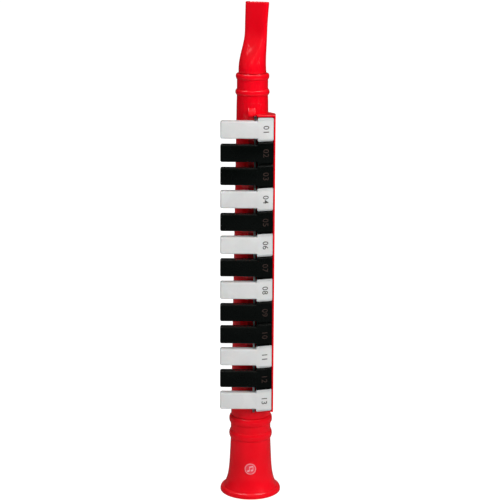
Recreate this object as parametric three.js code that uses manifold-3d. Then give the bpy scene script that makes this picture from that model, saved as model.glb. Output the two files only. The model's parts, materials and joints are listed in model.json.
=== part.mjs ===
// Clarinet-shaped toy melodica, standing on its bell.
// Millimetres. +Z runs up the instrument from the bell rim to the mouthpiece tip, the keys face -Y,
// and +X is on the right of a person who looks at the keys. The origin is the centre of the bell rim.
import * as THREE from "three";
import { mergeVertices } from "three/addons/utils/BufferGeometryUtils.js";
import Module from "manifold-3d";

// ---------------------------------------------------------------- driving dimensions

// Overall
const overallLength = 410;
const keyCount = 13;
const keyPitch = 18.8; // from one key to the next along Z
const keysBottomZ = 77; // lower edge of the lowest key's slot
const whiteKeys = [1, 4, 6, 8, 11, 13]; // counted from the mouthpiece

// Clearances
const fixedGap = 0.3; // between pieces that touch when assembled
const keyGap = 0.6; // between the wide ends of neighbouring keys
const runningGap = 0.08; // radial, around the pivot rod
const swivelGap = 0.1; // radial, around the mouthpiece tenon

// Tapered body tube
const bodyWall = 1.8;
const bodyTopRadius = 12.7;
const bodyBottomRadius = 16.4;
const seamGap = 0.3; // between the front and back shells

// Barrel
const barrelBottomZ = 331.5;
const barrelTopZ = 354.2;
const barrelRadius = 12.5;
const barrelBeads = [
  { z: 339.2, halfHeight: 2.2, bulge: 1.25 },
  { z: 351.8, halfHeight: 2.2, bulge: 0.95 },
];
const barrelWebZ = 339.2; // the web between the two sockets
const barrelWebThickness = 1.6;
const barrelWebRadius = 8;
const tenonWall = 1.6;

// Mouthpiece
const mouthRadius = 11.2;
const mouthTenonRadius = 9.5;
const mouthTenonLength = 12;
const mouthWall = 1.9;
const billWidth = 20;
const billThickness = 5.5;
const billStartZ = 353; // where the round base starts to flatten
const billEndZ = 390; // where it has become a flat bill
const billSquareness = 0.55; // power of the flat section's outline: 1 is an oval, 0 a rectangle
const billWaistInset = 2.4; // how far the reed side draws in between base and tip
const billWaistNarrowing = 1.2;
const blowSlotWidth = 14.5;
const blowSlotHeight = 2.6;
const mouthTurn = 25; // degrees the bill is turned from facing straight forward

// Bell
const bellTopZ = 67.2;
const bellThroatRadius = 16.65;
const bellWall = 1.9;
const flareDrift = 1.9; // slow widening along the whole bell
const flareSweep = 4.05; // quick widening towards the lip
const flarePower = 6;
const lipBulge = 2.7; // the rounded lip, outward from the end of the flare
const lipTopZ = 4.3;
const lipWidestZ = 1.2;
const rimRounding = 0.4;
const bellBeads = [
  { z: 50.8, halfHeight: 3.3, bulge: 1.35 },
  { z: 63.7, halfHeight: 3.3, bulge: 1.35 },
];
const bellWebZ = 46.5; // closed wall between the bell's mouth and the wind chamber
const bellSocketDepth = 17.5;
const badgeRadius = 5;
const badgeHeight = 0.5;
const badgeZ = 24.5;

// Key bed: the tray on the front right of the body
const bedY = -14.5;
const bedThickness = 2;
const bedRightX = 18.6;
const bedWallThickness = 1.2;
const bedWallFrontY = -19.5;
const bedWallBackY = -8.2;
const slantFootDrop = 0.3; // how far inside the tube's top radius the slant ends
const slantTopInset = 0.6; // how the slant's two ends move in, per millimetre of wall
const slantFootInset = 1.25;
const bedEndWall = 1.4;
const bedEndGap = 0.3; // from the outermost key slots to the end walls
const holeSize = { x: 5, z: 7 };

// Ridge along the front of the body, with the spring channel in it
const ridgeLeftX = -3.7;
const ridgeRightX = 3;
const ridgeFrontY = -17;
const ridgeNoseLength = 5;
const ridgeBottomZ = 74;
const channelLeftX = -3;
const channelRightX = 1.2;
const channelDepth = 2;

// Keys
const keyLeftX = -25.3;
const keyStepX = 4.3; // where the narrow finger bar meets the wide end
const keyRightX = 17;
const keyFrontY = -24.6;
const keyBackY = -17.8;
const keyBarGap = 4.9; // between the narrow bars of neighbouring keys
const keySlope = 16; // degrees that the wide end leans back
const keyWall = 1.4;
const keyEdge = 1.2; // rounding of the front edges

// Pivot
const pivotX = 2.4;
const pivotY = -20.3;
const pivotRadius = 0.9;
const pivotSides = 16;
const postRadius = 1.65;
const postThickness = 2.6;
const postSlots = [0, 3, 6, 9, 13]; // key slot boundaries that have a post, counted from the top
const topPostShift = -0.5; // keeps the outermost posts inside the end walls
const bottomPostShift = 0.1;
const postRoot = 0.5; // how far posts and ribs run into the bed

// Pads, springs and reeds
const padSize = { x: 8, z: 11 };
const padThickness = 1.8;
const padX = 11;
const springX = -0.9;
const springRadius = 1.6; // to the middle of the wire
const springWire = 0.45;
const springTurns = 4;
const cellDepth = 1.6;
const cellRib = 1.2;
const cellLeftX = 3.4;
const gasketThickness = 0.6;
const plateThickness = 1;
const plateInset = 0.3;
const reedThickness = 0.4;
const reedWidth = 3;
const reedBaseLength = 2.4;
const reedBaseHeight = 0.8;
const reedFootSpread = 0.5; // how far the foot stands out beside the tongue
const longestReed = 9;
const shortestReed = 6;

// ---------------------------------------------------------------- worked-out places

const keysTopZ = keysBottomZ + keyCount * keyPitch;
const bodyBottomZ = bellTopZ + fixedGap;
const bodyTopZ = barrelBottomZ - fixedGap;
const bodyTaper = (bodyBottomRadius - bodyTopRadius) / (bodyTopZ - bodyBottomZ);
const bodyRadiusAt = (z) => bodyBottomRadius - (z - bodyBottomZ) * bodyTaper;
const bedInnerX = bedRightX - bedWallThickness;
const bedBottomZ = keysBottomZ - bedEndGap - bedEndWall;
const bedTopZ = keysTopZ + bedEndGap + bedEndWall;
const bedBackY = bedY + bedThickness;
const gasketFrontY = bedBackY + cellDepth + fixedGap;
const plateFrontY = gasketFrontY + gasketThickness + fixedGap;
const plateBackY = plateFrontY + plateThickness;
const slantTopY = (inset) => bedWallBackY - inset * slantTopInset;
const slantFootX = (inset) => bodyTopRadius - slantFootDrop - inset * slantFootInset;
const innerSlant = {
  topX: bedInnerX,
  topY: slantTopY(bedWallThickness),
  footX: slantFootX(bedWallThickness),
};
const slantX = (y) =>
  THREE.MathUtils.mapLinear(y, innerSlant.topY, 0, innerSlant.topX, innerSlant.footX);
const plateLeftX = cellLeftX + plateInset;
const plateRightX = slantX(plateBackY) - plateInset;
const slotBoundaryZ = (index) => keysTopZ - index * keyPitch;
const keyBarWidth = keyPitch - keyBarGap;
const keyZ = (number) => keysTopZ - (number - 0.5) * keyPitch;
const keyNumbers = Array.from({ length: keyCount }, (_, index) => index + 1);
const twoDigits = (number) => String(number).padStart(2, "0");
const radians = THREE.MathUtils.degToRad;
const flareTopZ = bellBeads[0].z - bellBeads[0].halfHeight;
const lipRadius = bellThroatRadius + flareDrift + flareSweep;
const rimRadius = lipRadius + lipBulge;

// ---------------------------------------------------------------- solids and booleans

const wasm = await Module();
wasm.setup();

// A closed three.js geometry becomes a solid that can be joined and cut.
function solid(geometry) {
  const bare = geometry.clone();
  for (const name of Object.keys(bare.attributes)) {
    if (name !== "position") bare.deleteAttribute(name);
  }
  const merged = mergeVertices(bare, 1e-4);
  return new wasm.Manifold(
    new wasm.Mesh({
      numProp: 3,
      vertProperties: new Float32Array(merged.attributes.position.array),
      triVerts: new Uint32Array(merged.index.array),
    }),
  );
}

function geometryOf(body) {
  const mesh = body.getMesh();
  const geometry = new THREE.BufferGeometry();
  geometry.setAttribute("position", new THREE.BufferAttribute(mesh.vertProperties, 3));
  geometry.setIndex(new THREE.BufferAttribute(mesh.triVerts, 1));
  return geometry;
}

const join = (bodies) => bodies.reduce((whole, body) => whole.add(body));
const cut = (body, tools) => tools.reduce((whole, tool) => whole.subtract(tool), body);

function box(x0, x1, y0, y1, z0, z1) {
  const geometry = new THREE.BoxGeometry(x1 - x0, y1 - y0, z1 - z0);
  geometry.translate((x0 + x1) / 2, (y0 + y1) / 2, (z0 + z1) / 2);
  return solid(geometry);
}

// A cylinder or cone along Z.
function round(radiusBottom, radiusTop, z0, z1, sides = 40) {
  const geometry = new THREE.CylinderGeometry(radiusTop, radiusBottom, z1 - z0, sides);
  geometry.rotateX(Math.PI / 2);
  geometry.translate(0, 0, (z0 + z1) / 2);
  return solid(geometry);
}

// A body of revolution about Z from [radius, z] points.
function turned(points, sides = 40) {
  const geometry = new THREE.LatheGeometry(
    points.map(([radius, z]) => new THREE.Vector2(radius, z)),
    sides,
  );
  geometry.rotateX(Math.PI / 2);
  return solid(geometry);
}

// A prism along Z over an XY outline, with its end edges rounded when an edge is given.
function prism(outline, z0, z1, edge = 0) {
  const shape = new THREE.Shape(outline.map(([x, y]) => new THREE.Vector2(x, y)));
  const geometry = new THREE.ExtrudeGeometry(shape, {
    depth: z1 - z0 - 2 * edge,
    bevelEnabled: edge > 0,
    bevelThickness: edge,
    bevelSize: edge,
    bevelOffset: -edge,
    bevelSegments: 2,
    steps: 1,
  });
  geometry.translate(0, 0, z0 + edge);
  return solid(geometry);
}

// Points of a half-round bead on a turned outline, from its lower edge to its upper edge.
function beadPoints(bead, radius, steps = 4) {
  return Array.from({ length: steps + 1 }, (_, index) => {
    const angle = (index / steps) * Math.PI - Math.PI / 2;
    return [radius + bead.bulge * Math.cos(angle), bead.z + bead.halfHeight * Math.sin(angle)];
  });
}

// ---------------------------------------------------------------- mouthpiece and barrel

// One level of the mouthpiece: how far it has changed from a circle to a flat bill.
function billShare(z) {
  return THREE.MathUtils.smootherstep(z, billStartZ, billEndZ);
}

// How far one level is drawn in at the waist, from 0 at base and tip to 1 halfway.
function billWaist(z) {
  const share = (z - billStartZ) / (overallLength - billStartZ);
  return Math.sin(Math.PI * THREE.MathUtils.clamp(share, 0, 1));
}

// A cylinder whose levels are pressed flat towards one side as they rise.
// The reed side stays in one plane and the other side comes towards it.
function billForm(radius, width, thickness, backInset, z0, z1, levels) {
  const geometry = new THREE.CylinderGeometry(1, 1, 1, 28, levels);
  geometry.rotateX(Math.PI / 2);
  const position = geometry.attributes.position;
  for (let index = 0; index < position.count; index += 1) {
    const z = z0 + (position.getZ(index) + 0.5) * (z1 - z0);
    const share = billShare(z);
    const angle = Math.atan2(position.getY(index), position.getX(index));
    const reach = Math.hypot(position.getX(index), position.getY(index));
    const power = THREE.MathUtils.lerp(1, billSquareness, share);
    const across = Math.sign(Math.cos(angle)) * Math.abs(Math.cos(angle)) ** power;
    const deep = Math.sign(Math.sin(angle)) * Math.abs(Math.sin(angle)) ** power;
    const waist = billWaist(z);
    const halfWidth = THREE.MathUtils.lerp(radius, width / 2, share) - (waist * billWaistNarrowing) / 2;
    const halfDepth = THREE.MathUtils.lerp(radius, thickness / 2, share);
    const back = THREE.MathUtils.lerp(radius, mouthRadius - backInset, share) - waist * billWaistInset;
    position.setXYZ(index, reach * across * halfWidth, back - halfDepth + reach * deep * halfDepth, z);
  }
  return solid(geometry);
}

function makeMouthpiece() {
  const baseZ = barrelTopZ + fixedGap;
  const tenonZ = barrelTopZ - mouthTenonLength;
  const outside = billForm(mouthRadius, billWidth, billThickness, 0, baseZ, overallLength, 11);
  const slotInset = (billThickness - blowSlotHeight) / 2;
  const inside = billForm(
    mouthTenonRadius - mouthWall,
    blowSlotWidth,
    blowSlotHeight,
    slotInset,
    tenonZ - 1,
    overallLength + 1,
    8,
  );
  const tenon = round(mouthTenonRadius, mouthTenonRadius, tenonZ, baseZ + 1, 32);
  return cut(join([outside, tenon]), [inside]);
}

function makeBarrel() {
  const [lower, upper] = barrelBeads;
  const profile = [
    [0, barrelBottomZ],
    [barrelRadius + 0.15, barrelBottomZ],
    ...beadPoints(lower, barrelRadius),
    ...beadPoints(upper, barrelRadius),
    [barrelRadius - 0.4, barrelTopZ],
    [0, barrelTopZ],
  ];
  const socket = mouthTenonRadius + swivelGap + 0.05;
  const webTopZ = barrelWebZ + barrelWebThickness;
  return cut(turned(profile, 36), [
    round(socket, socket, webTopZ, barrelTopZ + 1, 32),
    round(barrelWebRadius, barrelWebRadius, barrelBottomZ - 1, barrelTopZ, 24),
    round(bodyTenonRadius(true), bodyTenonRadius(true), barrelBottomZ - 1, barrelWebZ, 36),
  ]);
}

// Outer radius of the body's upper tenon, or of the barrel socket that takes it.
function bodyTenonRadius(isSocket) {
  return barrelRadius - tenonWall - (isSocket ? 0 : fixedGap);
}

// ---------------------------------------------------------------- bell

// Outer radius of the bell's flare at a height.
function flareRadius(z) {
  const share = 1 - (z - lipTopZ) / (flareTopZ - lipTopZ);
  return bellThroatRadius + flareDrift * share + flareSweep * share ** flarePower;
}

function makeBell() {
  const [lower, upper] = bellBeads;
  const lipSteps = 3;
  const lipPoints = Array.from({ length: lipSteps }, (_, index) => {
    const angle = ((1 - index / lipSteps) * Math.PI) / 2;
    return [
      lipRadius + lipBulge * Math.sin(angle),
      lipWidestZ + (lipTopZ - lipWidestZ) * Math.cos(angle),
    ];
  });
  const flareSteps = 8;
  const flarePoints = Array.from({ length: flareSteps }, (_, index) => {
    const z = lipTopZ + (flareTopZ - lipTopZ) * (index / flareSteps) ** 1.6;
    return [flareRadius(z), z];
  });
  const outside = [
    [0, 0],
    [rimRadius - rimRounding, 0],
    ...lipPoints,
    ...flarePoints,
    ...beadPoints(lower, bellThroatRadius),
    ...beadPoints(upper, bellThroatRadius),
    [bellThroatRadius - 0.1, bellTopZ],
    [0, bellTopZ],
  ];
  const mouth = [
    [0, -1],
    [rimRadius - bellWall, -1],
    [rimRadius - bellWall, rimRounding],
    ...flarePoints.map(([radius, z]) => [radius - bellWall, z]),
    [bellThroatRadius - bellWall, bellWebZ],
    [0, bellWebZ],
  ];
  const socketRadius = bellThroatRadius - bellWall;
  const shell = cut(turned(outside, 36), [
    turned(mouth, 36),
    round(socketRadius, socketRadius, bellTopZ - bellSocketDepth, bellTopZ + 1),
  ]);
  return shell.add(makeBadge());
}

// A plain round boss on the front of the bell, following the flare.
function makeBadge() {
  const lowZ = badgeZ - badgeRadius - 1;
  const highZ = badgeZ + badgeRadius + 1;
  const steps = 4;
  const skin = Array.from({ length: steps + 1 }, (_, index) => {
    const z = THREE.MathUtils.lerp(lowZ, highZ, index / steps);
    return [flareRadius(z) + badgeHeight, z];
  });
  const layer = turned([[0, lowZ], ...skin, [0, highZ]], 36);
  const disc = new THREE.CylinderGeometry(badgeRadius, badgeRadius, rimRadius, 24);
  disc.translate(0, -flareRadius(badgeZ) + bellWall / 2 - rimRadius / 2, badgeZ);
  return layer.intersect(solid(disc));
}

// ---------------------------------------------------------------- body shells

// Outline of the key bed in the XY plane, taken in by an inset. Its back slants in to the tube.
function bedOutline(inset, frontY) {
  return [
    [0, frontY],
    [bedRightX - inset, frontY],
    [bedRightX - inset, slantTopY(inset)],
    [slantFootX(inset), 0],
    [0, 0],
  ];
}

function makeBodyOutside() {
  const upperTenon = round(
    bodyTenonRadius(false),
    bodyTenonRadius(false),
    bodyTopZ - 1,
    barrelWebZ - fixedGap,
    36,
  );
  const lowerRadius = bellThroatRadius - bellWall - fixedGap;
  const lowerTenon = round(
    lowerRadius,
    lowerRadius,
    bellTopZ - bellSocketDepth + fixedGap,
    bodyBottomZ + 1,
  );
  const tube = round(bodyBottomRadius, bodyTopRadius, bodyBottomZ, bodyTopZ);
  return join([
    tube,
    upperTenon,
    lowerTenon,
    prism(bedOutline(0, bedWallFrontY), bedBottomZ, bedTopZ),
    makeRidge(),
  ]);
}

// The ridge, with a nose that slopes down to the tube at its upper end.
function makeRidge() {
  const noseZ = bedTopZ + ridgeNoseLength;
  const side = new THREE.Shape([
    new THREE.Vector2(0, ridgeBottomZ),
    new THREE.Vector2(-ridgeFrontY, ridgeBottomZ),
    new THREE.Vector2(-ridgeFrontY, bedTopZ + 0.8),
    new THREE.Vector2(bodyRadiusAt(noseZ) - 0.4, noseZ),
    new THREE.Vector2(0, noseZ),
  ]);
  const geometry = new THREE.ExtrudeGeometry(side, {
    depth: ridgeRightX - ridgeLeftX,
    bevelEnabled: false,
  });
  // The side outline is (-Y, Z), so the extrusion's X, Y, Z become -Y, Z, -X.
  geometry.applyMatrix4(
    new THREE.Matrix4().set(0, 0, -1, ridgeRightX, -1, 0, 0, 0, 0, 1, 0, 0, 0, 0, 0, 1),
  );
  return solid(geometry);
}

// The wind chamber inside the tube and behind the bed.
function makeBodyInside() {
  const bore = barrelWebRadius + 0.8;
  const tube = round(
    bodyBottomRadius - bodyWall,
    bodyTopRadius - bodyWall,
    bodyBottomZ + 2,
    bodyTopZ - 2,
  );
  const upper = round(bore, bore, bodyTopZ - 3, barrelTopZ, 36);
  const lowerRadius = bellThroatRadius - bellWall - fixedGap - bodyWall;
  const lower = round(lowerRadius, lowerRadius, bellWebZ, bodyBottomZ + 3);
  const behindBed = prism(
    bedOutline(bedWallThickness, bedBackY),
    bedBottomZ + bedEndWall,
    bedTopZ - bedEndWall,
  );
  const bedSlab = box(cellLeftX - cellRib, bedRightX, -30, bedBackY, bedBottomZ, bedTopZ);
  return cut(join([tube, upper, lower, behindBed]), [bedSlab]);
}

function makePost(boundary) {
  const shifts = { 0: topPostShift, [keyCount]: bottomPostShift };
  const z0 = slotBoundaryZ(boundary) + (shifts[boundary] ?? 0) - postThickness / 2;
  const head = round(postRadius, postRadius, z0, z0 + postThickness, pivotSides);
  const foot = box(-postRadius, postRadius, 0, bedY + postRoot - pivotY, z0, z0 + postThickness);
  return head.add(foot).translate(pivotX, pivotY, 0);
}

// Ribs that part the reed cells behind the bed, and the long rib on their left.
function makeCellRibs() {
  const backY = bedBackY + cellDepth;
  const frontY = bedBackY - postRoot;
  const left = box(cellLeftX - cellRib, cellLeftX, frontY, backY, bedBottomZ, bedTopZ);
  const ribs = keyNumbers.slice(1).map((number) => {
    const z = slotBoundaryZ(number - 1);
    return box(cellLeftX - 0.1, bedInnerX + 0.1, frontY, backY, z - cellRib / 2, z + cellRib / 2);
  });
  return join([left, ...ribs]);
}

function makeBodyWhole() {
  const trough = box(
    ridgeRightX,
    bedInnerX,
    bedWallFrontY - 10,
    bedY,
    bedBottomZ + bedEndWall,
    bedTopZ - bedEndWall,
  );
  const channel = box(
    channelLeftX,
    channelRightX,
    ridgeFrontY - 5,
    ridgeFrontY + channelDepth,
    keysBottomZ,
    bedTopZ - bedEndWall,
  );
  const overRidge = box(
    -60,
    ridgeRightX + 0.6,
    bedWallFrontY - 10,
    ridgeFrontY,
    bedBottomZ - 5,
    bedTopZ + 10,
  );
  const holes = keyNumbers.map((number) =>
    box(
      padX - holeSize.x / 2,
      padX + holeSize.x / 2,
      bedY - 1,
      bedBackY + 1,
      keyZ(number) - holeSize.z / 2,
      keyZ(number) + holeSize.z / 2,
    ),
  );
  const rodBore = round(
    pivotRadius + runningGap,
    pivotRadius + runningGap,
    bedBottomZ - 5,
    bedTopZ + 5,
    pivotSides,
  ).translate(pivotX, pivotY, 0);
  const hollow = cut(makeBodyOutside(), [makeBodyInside(), overRidge, trough, channel]);
  const fitted = join([hollow, makeCellRibs(), ...postSlots.map(makePost)]);
  return cut(fitted, [...holes, rodBore]);
}

function splitBody(whole) {
  const far = 60;
  const front = box(-far, far, -far, -seamGap / 2, -10, overallLength);
  const back = box(-far, far, seamGap / 2, far, -10, overallLength);
  return { front: whole.intersect(front), back: whole.intersect(back) };
}

// ---------------------------------------------------------------- keys

// Side outline of a bar of the key, in the XY plane, past its open back.
// The outside has its front corners taken off; the hollow, a wall further in, has none.
function keySide(leftX, rightX, inset) {
  const slope = Math.tan(radians(keySlope));
  const left = leftX + inset;
  const right = rightX - inset;
  const corner = inset ? 0.1 : keyEdge * 0.8;
  const backY = keyBackY + 4;
  const frontAt = (x) => keyFrontY + inset + Math.max(0, x - keyStepX) * slope;
  return [
    [left, backY],
    [left, frontAt(left) + corner],
    [left + corner, frontAt(left)],
    [right - corner, frontAt(right)],
    [right, frontAt(right) + corner],
    [right, backY],
  ];
}

function makeKey() {
  const half = keyBarWidth / 2;
  const wideHalf = (keyPitch - keyGap) / 2;
  const bar = prism(keySide(keyLeftX, keyStepX + 2, 0), -half, half, keyEdge);
  const wide = prism(keySide(keyStepX, keyRightX, 0), -wideHalf, wideHalf, keyEdge);
  const barHollow = prism(keySide(keyLeftX, keyStepX, keyWall), -half + keyWall, half - keyWall);
  const wideHollow = prism(
    keySide(keyStepX, keyRightX, keyWall),
    -wideHalf + keyWall,
    wideHalf - keyWall,
  );
  const behind = box(-60, 60, keyBackY, 30, -30, 30);
  const boss = box(
    padX - padSize.x / 2 + 1.2,
    padX + padSize.x / 2 - 1.2,
    keyFrontY + keyWall + (padX - keyStepX) * Math.tan(radians(keySlope)),
    padFrontY - fixedGap,
    -padSize.z / 2 + 1.5,
    padSize.z / 2 - 1.5,
  );
  const bore = round(
    pivotRadius + runningGap,
    pivotRadius + runningGap,
    -keyPitch,
    keyPitch,
    pivotSides,
  ).translate(pivotX, pivotY, 0);
  return cut(cut(join([bar, wide]), [barHollow, wideHollow, behind]).add(boss), [bore]);
}

const padBackY = bedY - fixedGap;
const padFrontY = padBackY - padThickness;

function makePad() {
  const shape = new THREE.Shape();
  const x = padSize.x / 2;
  const z = padSize.z / 2;
  const corner = 1.5;
  shape.moveTo(-x + corner, -z);
  shape.lineTo(x - corner, -z);
  shape.lineTo(x, -z + corner);
  shape.lineTo(x, z - corner);
  shape.lineTo(x - corner, z);
  shape.lineTo(-x + corner, z);
  shape.lineTo(-x, z - corner);
  shape.lineTo(-x, -z + corner);
  const geometry = new THREE.ExtrudeGeometry(shape, { depth: padThickness, bevelEnabled: false });
  geometry.rotateX(Math.PI / 2);
  geometry.translate(padX, padBackY, 0);
  return solid(geometry);
}

// ---------------------------------------------------------------- springs, rod and reeds

// A coil standing between the channel floor and the underside of the key, along -Y.
class Coil extends THREE.Curve {
  constructor(length) {
    super();
    this.length = length;
  }

  getPoint(share, target = new THREE.Vector3()) {
    const angle = share * springTurns * 2 * Math.PI;
    return target.set(
      springRadius * Math.cos(angle),
      -share * this.length,
      springRadius * Math.sin(angle),
    );
  }
}

function makeSpring() {
  const floorY = ridgeFrontY + channelDepth - fixedGap - springWire / 2;
  const topY = keyFrontY + keyWall + fixedGap + springWire / 2;
  const half = springWire / 2;
  const wire = new THREE.Shape([
    new THREE.Vector2(-half, -half),
    new THREE.Vector2(half, -half),
    new THREE.Vector2(half, half),
    new THREE.Vector2(-half, half),
  ]);
  const geometry = new THREE.ExtrudeGeometry(wire, {
    steps: springTurns * 6,
    extrudePath: new Coil(floorY - topY),
  });
  geometry.translate(springX, floorY, 0);
  return solid(geometry);
}

function makePivotRod() {
  const low = bedBottomZ + 0.2;
  const high = bedTopZ - 0.4;
  return round(pivotRadius, pivotRadius, low, high, pivotSides).translate(pivotX, pivotY, 0);
}

function reedLength(number) {
  const share = (number - 1) / (keyCount - 1);
  return THREE.MathUtils.lerp(longestReed, shortestReed, share);
}

function makeReedPlate() {
  const blank = box(
    plateLeftX,
    plateRightX,
    plateFrontY,
    plateBackY,
    keysBottomZ + plateInset,
    keysTopZ - plateInset,
  );
  const slots = keyNumbers.map((number) => {
    const right = plateLeftX + reedBaseLength + 1 + reedLength(number);
    return box(
      plateLeftX + reedBaseLength + 0.6,
      right,
      plateFrontY - 1,
      plateBackY + 1,
      keyZ(number) - reedWidth / 2 - 0.15,
      keyZ(number) + reedWidth / 2 + 0.15,
    );
  });
  return cut(blank, slots);
}

function makeReedGasket() {
  const blank = box(
    plateLeftX,
    plateRightX,
    gasketFrontY,
    gasketFrontY + gasketThickness,
    keysBottomZ + plateInset,
    keysTopZ - plateInset,
  );
  const windows = keyNumbers.map((number) =>
    box(
      plateLeftX + 1.2,
      plateRightX - 1.2,
      gasketFrontY - 1,
      gasketFrontY + gasketThickness + 1,
      keyZ(number) - keyPitch / 2 + 1.4,
      keyZ(number) + keyPitch / 2 - 1.4,
    ),
  );
  return cut(blank, windows);
}

// A brass tongue over its slot, with the thicker foot that is riveted to the plate.
function makeReed(number) {
  const left = plateLeftX + 0.5;
  const footRight = left + reedBaseLength;
  const frontY = plateBackY + fixedGap;
  const footHalf = reedWidth / 2 + reedFootSpread;
  const foot = box(left, footRight, frontY, frontY + reedBaseHeight, -footHalf, footHalf);
  const tongue = box(
    footRight - 0.2,
    footRight + reedLength(number),
    frontY,
    frontY + reedThickness,
    -reedWidth / 2,
    reedWidth / 2,
  );
  return foot.add(tongue);
}

// ---------------------------------------------------------------- materials and assembly

const redPlastic = new THREE.MeshStandardMaterial({ color: 0xe10a16, roughness: 0.28, metalness: 0 });
const whitePlastic = new THREE.MeshStandardMaterial({ color: 0xe4e4e2, roughness: 0.3, metalness: 0 });
const blackPlastic = new THREE.MeshStandardMaterial({ color: 0x0b0b0c, roughness: 0.3, metalness: 0 });
const steel = new THREE.MeshStandardMaterial({ color: 0xb4b6ba, roughness: 0.3, metalness: 1 });
const brass = new THREE.MeshStandardMaterial({ color: 0xc9a24b, roughness: 0.35, metalness: 1 });
const aluminium = new THREE.MeshStandardMaterial({ color: 0xb9bcc0, roughness: 0.45, metalness: 1 });
const rubber = new THREE.MeshStandardMaterial({ color: 0x2b2b2d, roughness: 0.85, metalness: 0 });

const group = new THREE.Group();

function place(name, geometry, material, z = 0) {
  const mesh = new THREE.Mesh(geometry, material);
  mesh.name = name;
  mesh.position.z = z;
  group.add(mesh);
  return mesh;
}

const shells = splitBody(makeBodyWhole());
place("mouthpiece", geometryOf(makeMouthpiece()), redPlastic).rotation.z = radians(-mouthTurn);
place("barrel", geometryOf(makeBarrel()), redPlastic);
place("body_front", geometryOf(shells.front), redPlastic);
place("body_back", geometryOf(shells.back), redPlastic);
place("bell", geometryOf(makeBell()), redPlastic);
place("pivot_rod", geometryOf(makePivotRod()), steel);
place("reed_plate", geometryOf(makeReedPlate()), aluminium);
place("reed_gasket", geometryOf(makeReedGasket()), rubber);

const keyGeometry = geometryOf(makeKey());
const padGeometry = geometryOf(makePad());
const springGeometry = geometryOf(makeSpring());
for (const number of keyNumbers) {
  const label = twoDigits(number);
  const z = keyZ(number);
  place(`key_${label}`, keyGeometry, whiteKeys.includes(number) ? whitePlastic : blackPlastic, z);
  place(`pad_${label}`, padGeometry, rubber, z);
  place(`spring_${label}`, springGeometry, steel, z);
  place(`reed_${label}`, geometryOf(makeReed(number)), brass, z);
}

export default group;
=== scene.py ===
# %% [markdown]
# # A toy melodica in the shape of a clarinet
#
# This lesson dresses a finished mechanical model. The model comes in as a fixed frame: sixty
# solids in their right places, with joints. Every piece made here sits on one of those solids,
# rides on the body that carries it, and gives it its fine shape and its finish. The instrument
# stands on its bell, +Z runs up to the mouthpiece, and the keys face -Y.

import json
import math

import bmesh
import bpy
from mathutils import Matrix, Vector

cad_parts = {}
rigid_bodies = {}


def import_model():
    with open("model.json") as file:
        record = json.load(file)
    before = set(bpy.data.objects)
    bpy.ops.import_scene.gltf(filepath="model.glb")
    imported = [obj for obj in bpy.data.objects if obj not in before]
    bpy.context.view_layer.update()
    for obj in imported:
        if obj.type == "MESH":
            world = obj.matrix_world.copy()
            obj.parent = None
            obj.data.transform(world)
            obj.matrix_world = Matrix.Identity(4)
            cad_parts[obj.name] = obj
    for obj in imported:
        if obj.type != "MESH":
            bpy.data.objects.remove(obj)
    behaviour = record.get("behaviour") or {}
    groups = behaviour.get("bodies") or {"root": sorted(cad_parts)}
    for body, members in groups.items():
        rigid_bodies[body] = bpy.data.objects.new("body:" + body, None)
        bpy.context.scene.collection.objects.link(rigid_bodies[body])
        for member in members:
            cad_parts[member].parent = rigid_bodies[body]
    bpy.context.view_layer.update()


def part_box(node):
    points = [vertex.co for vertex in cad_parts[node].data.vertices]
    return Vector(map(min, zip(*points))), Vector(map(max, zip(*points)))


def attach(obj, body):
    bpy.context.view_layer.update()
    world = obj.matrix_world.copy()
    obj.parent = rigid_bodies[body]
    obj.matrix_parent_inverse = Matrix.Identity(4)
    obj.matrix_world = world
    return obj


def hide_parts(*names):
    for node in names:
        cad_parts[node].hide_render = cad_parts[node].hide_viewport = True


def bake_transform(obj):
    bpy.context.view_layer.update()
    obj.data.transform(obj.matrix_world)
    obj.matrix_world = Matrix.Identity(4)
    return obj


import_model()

# %% [markdown]
# Blender works in metres and the instrument is drawn in millimetres, so sizes are written in
# millimetres and turned into metres once, where a shape is made. A node's box in the frame is
# turned the other way, so that places can be read off the solids instead of typed again.

# %% Millimetres and boxes
MM = 0.001
WELD = 0.001 * MM  # points nearer than this are one point


def node_box(name):
    """Lowest and highest corner of a node of the frame, in millimetres."""
    low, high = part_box(name)
    return Vector(low) / MM, Vector(high) / MM


key_numbers = range(1, 14)
key_count = len(key_numbers)
white_keys = (1, 4, 6, 8, 11, 13)
bell_low, bell_high = node_box("bell")
body_low, body_high = node_box("body_front")
tip_z = node_box("mouthpiece")[1].z
print("bell top", round(bell_high.z, 2), "tip", round(tip_z, 2))

# %% [markdown]
# Modelling operators act on everything that is selected, and a loaded frame is selected all
# over. So each step starts by clearing the selection and choosing one object. Edit mode is
# entered and left by the same two helpers, and faces or edges are picked in code by a test on
# their place.

# %% Choosing and editing
def choose(obj):
    bpy.ops.object.select_all(action="DESELECT")
    obj.select_set(True)
    bpy.context.view_layer.objects.active = obj


def edit(obj, mode="VERT"):
    choose(obj)
    bpy.ops.object.mode_set(mode="EDIT")
    bpy.ops.mesh.select_mode(type=mode)
    bpy.ops.mesh.select_all(action="SELECT")


def leave():
    bpy.ops.object.mode_set(mode="OBJECT")


def pick_edges(obj, test):
    """In edit mode, selects the edges whose two ends, in millimetres, pass the test."""
    bpy.ops.mesh.select_all(action="DESELECT")
    mesh = bmesh.from_edit_mesh(obj.data)
    for edge in mesh.edges:
        if test(*[vertex.co / MM for vertex in edge.verts]):
            edge.select_set(True)
    bmesh.update_edit_mesh(obj.data)


# %% [markdown]
# Three ways of making a solid cover almost the whole instrument. A block is a cube primitive
# between two corners. A turned piece is an outline spun round the axis, as on a lathe. A tube of
# rings is a circle that is extruded level by level and then pressed to a shape at each level.

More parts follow.
